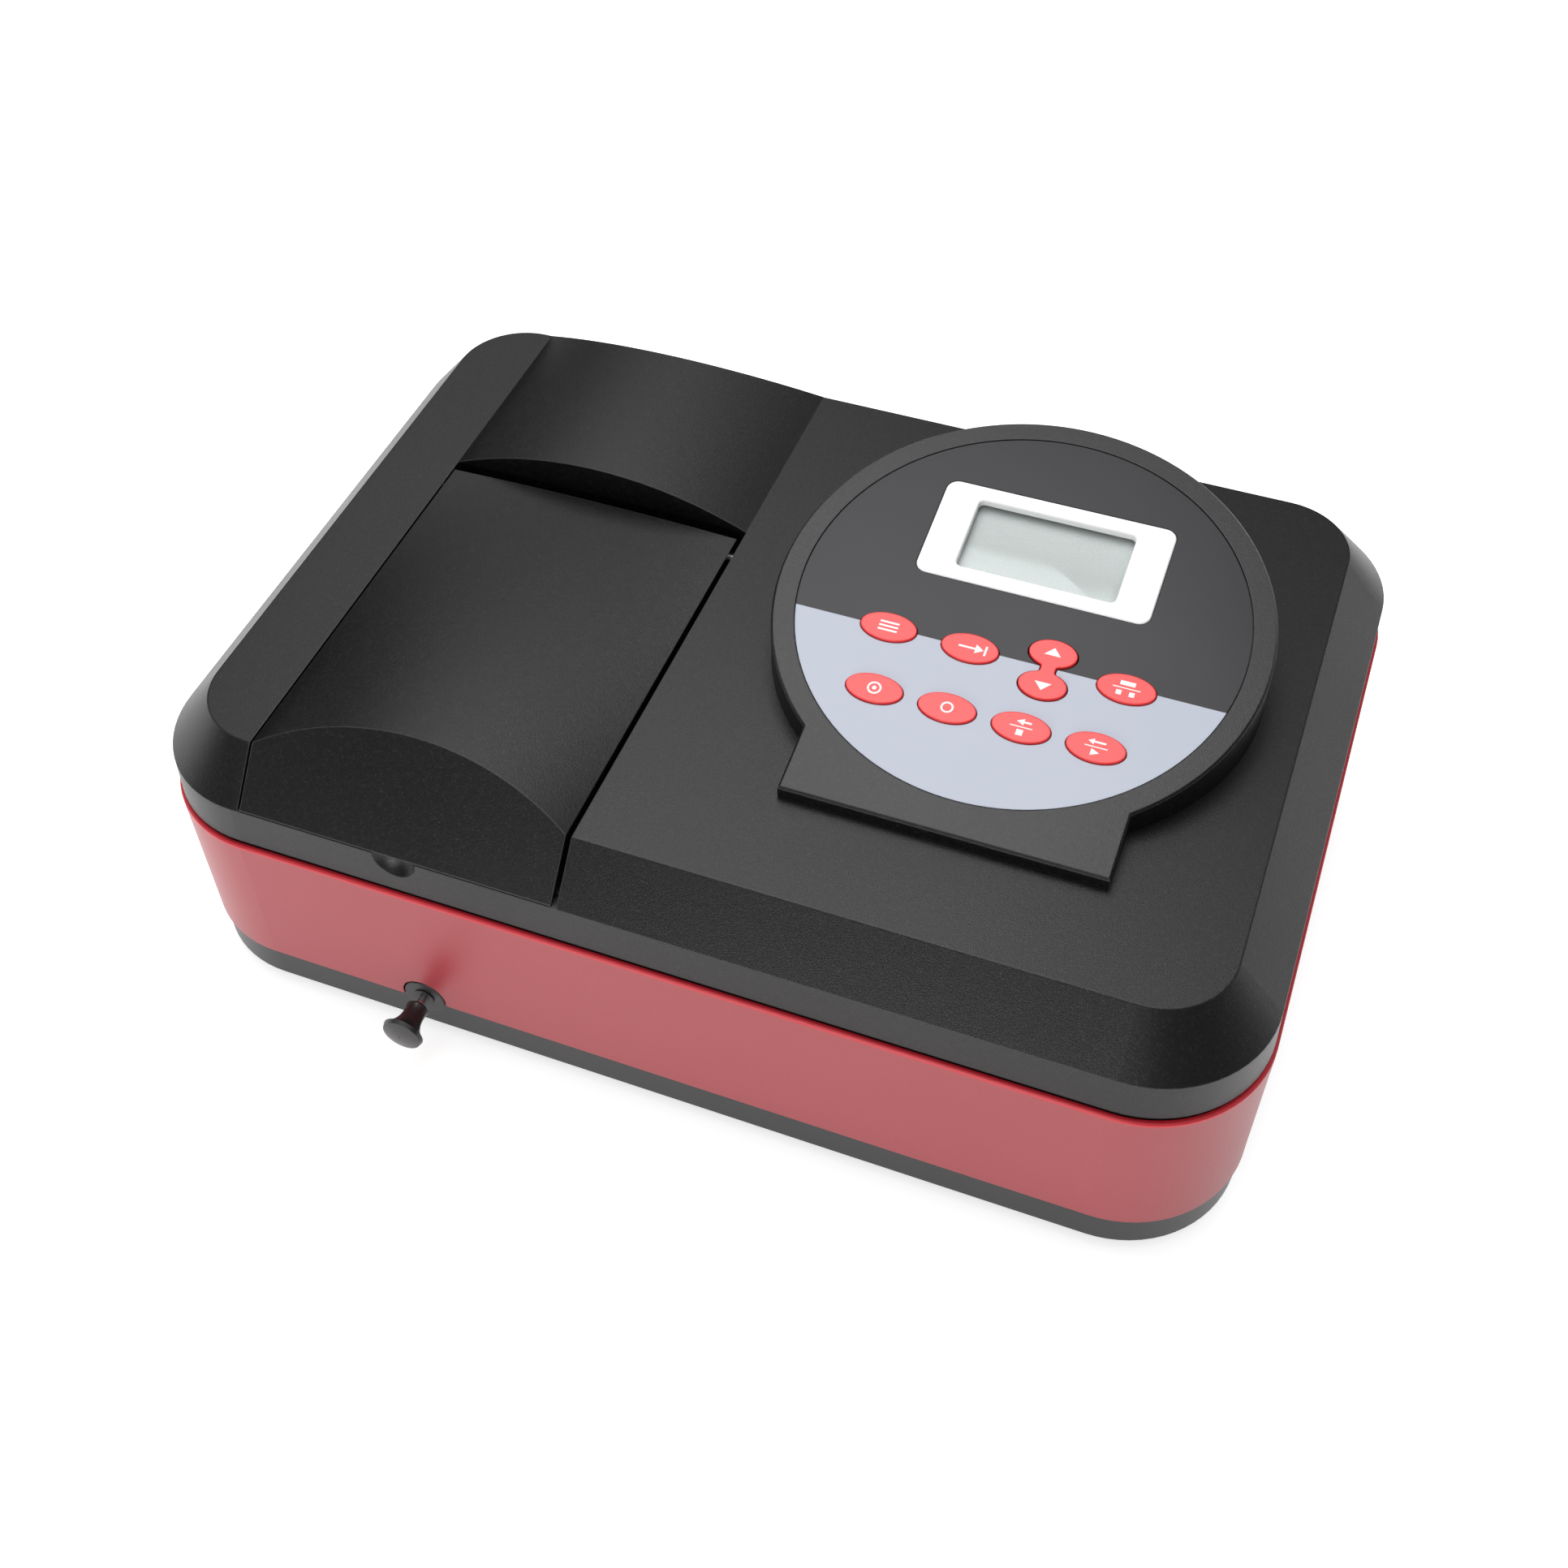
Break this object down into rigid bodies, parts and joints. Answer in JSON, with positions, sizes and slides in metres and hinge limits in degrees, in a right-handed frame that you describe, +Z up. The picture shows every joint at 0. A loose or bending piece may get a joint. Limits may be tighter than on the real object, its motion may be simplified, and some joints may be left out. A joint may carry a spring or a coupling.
{
  "type": "uv-vis spectrophotometer",
  "caption": "Low bench spectrophotometer: two-tone rounded case, hinged sample lid over a sliding cell changer, tilted round display pod with keys, mirrors, grating and lamps inside.",
  "frame": {"origin": "middle of the whole footprint, on the surface the feet stand on", "axes": "+X to the object's right seen from the front, +Y to the back, +Z up"},
  "size_m": [0.4644, 0.3504, 0.1828],
  "materials": {
    "cover_plastic": "charcoal fine-grained moulding",
    "band_plastic": "satin muted red moulding",
    "tray_plastic": "dark grey satin moulding",
    "overlay_sheet": "printed sheet, dark above and pale grey below",
    "key_plastic": "coral red, soft sheen",
    "white_plastic": "white, smooth",
    "display_glass": "clear window",
    "display_cell": "pale grey green",
    "black_plastic": "black",
    "foam": "black foam",
    "foot_rubber": "black rubber",
    "steel": "bright steel",
    "panel_steel": "dark powder coat",
    "screw_steel": "zinc plated",
    "well_black": "black anodised look",
    "cast_alloy": "cast, bead blasted",
    "black_alloy": "matte black optical paint",
    "mirror_coat": "front-coated optical mirror",
    "quartz": "clear quartz",
    "lamp_glass": "lamp envelope",
    "board_green": "green circuit board",
    "brass": "turned brass",
    "knob_plastic": "dark moulded knob",
    "cage_steel": "plated sheet steel"
  },
  "bodies": {
    "housing": {"base_tray": "tray_plastic", "rubber_feet": "foot_rubber", "case_screws": "screw_steel", "side_band": "band_plastic", "rear_panel": "panel_steel", "panel_screws": "screw_steel", "power_inlet": "black_plastic", "inlet_pins": "steel", "switch_frame": "black_plastic", "data_port": "steel", "fan_frame": "black_plastic", "top_cover": "cover_plastic", "hinge_pin": "steel", "light_seal": "foam", "display_housing": "cover_plastic", "panel_overlay": "overlay_sheet", "display_bezel": "white_plastic", "display_glass": "display_glass", "display_module": "display_cell", "key_board": "board_green", "key_switches": "black_plastic", "pod_screws": "screw_steel", "rod_bush": "black_plastic", "guide_rods": "steel", "sample_well": "well_black", "beam_windows": "quartz", "optical_base": "cast_alloy", "monochromator_box": "black_alloy", "monochromator_lid": "black_alloy", "slit_plates": "black_alloy", "mirrors": "mirror_coat", "stepper_motors": "cage_steel", "lamp_house": "black_alloy", "deuterium_lamp": "lamp_glass", "tungsten_lamp": "lamp_glass", "detector": "black_alloy", "main_board": "board_green", "power_supply": "cage_steel"},
    "lid": {"sample_lid": "cover_plastic"},
    "cell_changer": {"carriage_block": "black_alloy", "cell_rack": "black_alloy", "pull_rod": "steel", "rod_knob": "knob_plastic"},
    "arrow_key": {"arrow_rocker": "key_plastic"},
    "mains_rocker": {"switch_rocker": "black_plastic"},
    "fan_wheel": {"fan_rotor": "black_plastic"},
    "grating_arm": {"grating_table": "cast_alloy", "grating": "mirror_coat"},
    "lead_nut": {"drive_nut": "brass"},
    "lead_screw": {"drive_screw": "steel"},
    "filter_disc": {"filter_wheel": "black_alloy"},
    "lamp_mirror": {"source_mirror": "mirror_coat"},
    "key_upper_1_body": {"key_upper_1": "key_plastic"},
    "key_upper_2_body": {"key_upper_2": "key_plastic"},
    "key_upper_3_body": {"key_upper_3": "key_plastic"},
    "key_lower_1_body": {"key_lower_1": "key_plastic"},
    "key_lower_2_body": {"key_lower_2": "key_plastic"},
    "key_lower_3_body": {"key_lower_3": "key_plastic"},
    "key_lower_4_body": {"key_lower_4": "key_plastic"}
  },
  "joints": [
    {"name": "lid_hinge", "type": "hinge", "parent": "housing", "child": "lid", "pos_m": [-0.1078, 0.03785, 0.135], "axis": [-1, 0, 0], "range_deg": [0, 88]},
    {"name": "changer_slide", "type": "slide", "parent": "housing", "child": "cell_changer", "axis": [0, -1, 0], "range_m": [0, 0.054]},
    {"name": "arrow_rock", "type": "hinge", "parent": "housing", "child": "arrow_key", "pos_m": [0.1114, -0.00438, 0.1556], "axis": [1, 0, 0], "range_deg": [-2.5, 2.5], "stiffness_Nm_per_rad": 0.5},
    {"name": "mains_rock", "type": "hinge", "parent": "housing", "child": "mains_rocker", "pos_m": [0.105, 0.16565, 0.059], "axis": [1, 0, 0], "range_deg": [-16, 0]},
    {"name": "fan_spin", "type": "hinge", "parent": "housing", "child": "fan_wheel", "pos_m": [-0.02, 0.15955, 0.059], "axis": [0, 1, 0], "continuous": true},
    {"name": "grating_turn", "type": "hinge", "parent": "housing", "child": "grating_arm", "pos_m": [0.005, -0.00615, 0.0408], "axis": [0, 0, 1], "range_deg": [0, 20]},
    {"name": "nut_slide", "type": "slide", "parent": "housing", "child": "lead_nut", "axis": [1, 0, 0], "range_m": [0, 0.026]},
    {"name": "screw_spin", "type": "hinge", "parent": "housing", "child": "lead_screw", "pos_m": [0.015, -0.09315, 0.038], "axis": [1, 0, 0], "range_deg": [-2260, 0]},
    {"name": "filter_turn", "type": "hinge", "parent": "housing", "child": "filter_disc", "pos_m": [0.008, 0.07405, 0.053], "axis": [0, 1, 0], "continuous": true},
    {"name": "lamp_select", "type": "hinge", "parent": "housing", "child": "lamp_mirror", "pos_m": [-0.01, 0.11685, 0.045], "axis": [0, 0, 1], "range_deg": [-90, 0]},
    {"name": "key_upper_1_press", "type": "slide", "parent": "housing", "child": "key_upper_1_body", "axis": [0, -0.1771, 0.9842], "range_m": [-0.0007, 0], "stiffness_N_per_m": 300, "springref_m": 0.001},
    {"name": "key_upper_2_press", "type": "slide", "parent": "housing", "child": "key_upper_2_body", "axis": [0, -0.1771, 0.9842], "range_m": [-0.0007, 0], "stiffness_N_per_m": 300, "springref_m": 0.001},
    {"name": "key_upper_3_press", "type": "slide", "parent": "housing", "child": "key_upper_3_body", "axis": [0, -0.1771, 0.9842], "range_m": [-0.0007, 0], "stiffness_N_per_m": 300, "springref_m": 0.001},
    {"name": "key_lower_1_press", "type": "slide", "parent": "housing", "child": "key_lower_1_body", "axis": [0, -0.1771, 0.9842], "range_m": [-0.0007, 0], "stiffness_N_per_m": 300, "springref_m": 0.001},
    {"name": "key_lower_2_press", "type": "slide", "parent": "housing", "child": "key_lower_2_body", "axis": [0, -0.1771, 0.9842], "range_m": [-0.0007, 0], "stiffness_N_per_m": 300, "springref_m": 0.001},
    {"name": "key_lower_3_press", "type": "slide", "parent": "housing", "child": "key_lower_3_body", "axis": [0, -0.1771, 0.9842], "range_m": [-0.0007, 0], "stiffness_N_per_m": 300, "springref_m": 0.001},
    {"name": "key_lower_4_press", "type": "slide", "parent": "housing", "child": "key_lower_4_body", "axis": [0, -0.1771, 0.9842], "range_m": [-0.0007, 0], "stiffness_N_per_m": 300, "springref_m": 0.001}
  ],
  "couplings": [
    {"joint": "nut_slide", "follows": "grating_turn", "m_per_rad": 0.0716},
    {"joint": "screw_spin", "follows": "grating_turn", "ratio": -112.47}
  ]
}
